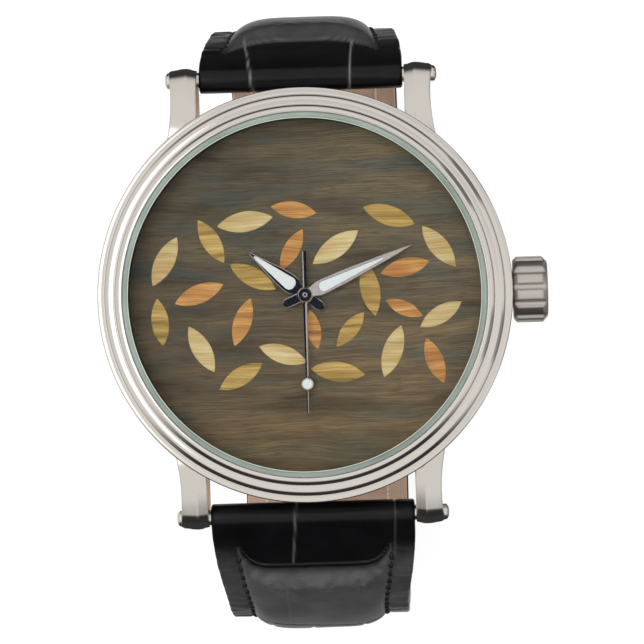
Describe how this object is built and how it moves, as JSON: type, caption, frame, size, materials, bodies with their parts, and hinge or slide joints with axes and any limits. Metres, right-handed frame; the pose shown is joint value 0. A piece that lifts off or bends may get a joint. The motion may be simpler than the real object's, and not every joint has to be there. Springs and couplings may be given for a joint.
{
  "type": "wristwatch",
  "caption": "round steel wristwatch with a stepped bezel, an inlaid wood dial, three hands and a padded black leather strap closed on a pin buckle",
  "frame": {"origin": "centre of the case back's outer face", "axes": "+Z is the dial's normal, +Y points to 12 o'clock and +X to the crown at 3 o'clock; the strap loop hangs below the case along -Z"},
  "size_m": [0.043, 0.0616, 0.06],
  "materials": {
    "case_steel": "polished stainless steel",
    "glass": "flat mineral glass, clear",
    "gasket_clear": "white nylon gasket",
    "gasket_black": "black nitrile rubber",
    "ring_black": "dark satin ring",
    "brass": "brushed brass",
    "walnut": "dark walnut veneer, satin oil",
    "maple": "blond maple veneer",
    "olivewood": "golden olive wood veneer",
    "cherry": "russet cherry veneer",
    "white_plastic": "moulded white acetal",
    "board": "green glass-fibre board",
    "copper": "enamelled copper winding",
    "iron": "soft iron laminate",
    "hand_steel": "mirror polished steel",
    "lume": "white luminous paint",
    "magnet": "sintered magnet",
    "strap_leather": "glossy black embossed leather",
    "lining_leather": "smooth tan leather",
    "foam": "felt padding",
    "buckle_steel": "polished stainless steel"
  },
  "bodies": {
    "case": {"mid_case": "case_steel", "bezel": "case_steel", "crystal": "glass", "crystal_gasket": "gasket_clear", "dial_ring": "ring_black", "dial_plate": "brass", "dial_veneer": "walnut", "inlay_blond": "maple", "inlay_gold": "olivewood", "inlay_russet": "cherry", "case_back": "case_steel", "case_back_gasket": "gasket_black", "movement_holder": "white_plastic", "main_plate": "brass", "train_bridge": "brass", "bridge_screws": "iron", "circuit_board": "board", "quartz_can": "iron", "drive_coil": "copper", "stator": "iron", "battery": "iron", "battery_clamp": "iron", "crown_tube": "case_steel", "upper_strap_bar": "case_steel", "lower_strap_bar": "case_steel", "bar_screws": "case_steel"},
    "minute_group": {"cannon_pinion": "brass", "minute_hand": "hand_steel", "minute_hand_lume": "lume"},
    "hour_group": {"hour_wheel": "brass", "hour_hand": "hand_steel", "hour_hand_lume": "lume"},
    "minute_wheel_group": {"minute_wheel": "brass"},
    "second_group": {"seconds_arbor": "iron", "second_hand": "hand_steel", "second_hand_dot": "lume"},
    "third_group": {"third_wheel": "brass"},
    "centre_group": {"centre_wheel": "brass"},
    "relay_group": {"relay_wheel": "white_plastic"},
    "rotor_group": {"rotor": "magnet"},
    "clutch_group": {"clutch_pinion": "iron"},
    "crown_group": {"crown": "case_steel", "crown_gasket": "gasket_black", "stem": "iron"},
    "lever_group": {"setting_lever": "iron"},
    "short_strap": {"short_strap_root": "strap_leather", "short_strap_outer": "strap_leather", "short_strap_end": "strap_leather", "short_strap_padding": "foam", "short_strap_lining": "lining_leather", "fixed_keeper": "strap_leather"},
    "buckle": {"buckle_frame": "buckle_steel", "buckle_bar": "buckle_steel"},
    "tongue": {"buckle_tongue": "buckle_steel"},
    "loose_keeper": {"free_keeper": "strap_leather"},
    "long_strap": {"long_strap_root": "strap_leather", "long_strap_outer": "strap_leather", "long_strap_end": "strap_leather", "long_strap_padding": "foam", "long_strap_lining": "lining_leather"}
  },
  "joints": [
    {"name": "minute_hand_turn", "type": "hinge", "parent": "case", "child": "minute_group", "pos_m": [0, 0, 0.0073], "axis": [0, 0, 1], "continuous": true},
    {"name": "hour_hand_turn", "type": "hinge", "parent": "case", "child": "hour_group", "pos_m": [0, 0, 0.007], "axis": [0, 0, 1], "continuous": true},
    {"name": "minute_wheel_turn", "type": "hinge", "parent": "case", "child": "minute_wheel_group", "pos_m": [0.00226, 0.00082, 0.0054], "axis": [0, 0, 1], "continuous": true},
    {"name": "second_hand_turn", "type": "hinge", "parent": "case", "child": "second_group", "pos_m": [0, 0, 0.0076], "axis": [0, 0, 1], "continuous": true},
    {"name": "third_wheel_turn", "type": "hinge", "parent": "case", "child": "third_group", "pos_m": [-0.00039, 0.00221, 0.0038], "axis": [0, 0, 1], "continuous": true},
    {"name": "centre_wheel_turn", "type": "hinge", "parent": "case", "child": "centre_group", "pos_m": [0, 0, 0.0043], "axis": [0, 0, 1], "continuous": true},
    {"name": "relay_wheel_turn", "type": "hinge", "parent": "case", "child": "relay_group", "pos_m": [-0.0021, -0.00077, 0.0037], "axis": [0, 0, 1], "continuous": true},
    {"name": "rotor_turn", "type": "hinge", "parent": "case", "child": "rotor_group", "pos_m": [-0.00346, -0.00126, 0.004], "axis": [0, 0, 1], "continuous": true},
    {"name": "crown_turn", "type": "hinge", "parent": "case", "child": "clutch_group", "pos_m": [0.009, 0, 0.0039], "axis": [1, 0, 0], "continuous": true},
    {"name": "crown_pull", "type": "slide", "parent": "clutch_group", "child": "crown_group", "axis": [1, 0, 0], "range_m": [0, 0.001]},
    {"name": "setting_lever_turn", "type": "hinge", "parent": "case", "child": "lever_group", "pos_m": [0.0117, -0.0029, 0.003], "axis": [0, 0, -1], "range_deg": [0, 23.27]},
    {"name": "short_strap_swing", "type": "hinge", "parent": "case", "child": "short_strap", "pos_m": [0, 0.0212, 0.0024], "axis": [1, 0, 0], "range_deg": [0, 80]},
    {"name": "buckle_frame_turn", "type": "hinge", "parent": "short_strap", "child": "buckle", "pos_m": [0, -0.003, -0.045], "axis": [1, 0, 0], "range_deg": [0, 40]},
    {"name": "buckle_tongue_turn", "type": "hinge", "parent": "buckle", "child": "tongue", "pos_m": [0, -0.003, -0.045], "axis": [1, 0, 0], "range_deg": [0, 36]},
    {"name": "free_keeper_slide", "type": "slide", "parent": "short_strap", "child": "loose_keeper", "axis": [0, 1, 0], "range_m": [-0.0012, 0.001]},
    {"name": "long_strap_swing", "type": "hinge", "parent": "case", "child": "long_strap", "pos_m": [0, -0.0212, 0.0024], "axis": [-1, 0, 0], "range_deg": [0, 75], "deforming": ["long_strap_outer", "long_strap_end", "long_strap_padding", "long_strap_lining"]}
  ],
  "couplings": [
    {"joint": "hour_hand_turn", "follows": "minute_hand_turn", "ratio": 0.083333},
    {"joint": "minute_wheel_turn", "follows": "minute_hand_turn", "ratio": -0.33333},
    {"joint": "third_wheel_turn", "follows": "second_hand_turn", "ratio": -0.125},
    {"joint": "centre_wheel_turn", "follows": "second_hand_turn", "ratio": 0.016667},
    {"joint": "relay_wheel_turn", "follows": "second_hand_turn", "ratio": -6},
    {"joint": "rotor_turn", "follows": "second_hand_turn", "ratio": 30},
    {"joint": "setting_lever_turn", "follows": "crown_pull", "rad_per_m": 402.72}
  ]
}
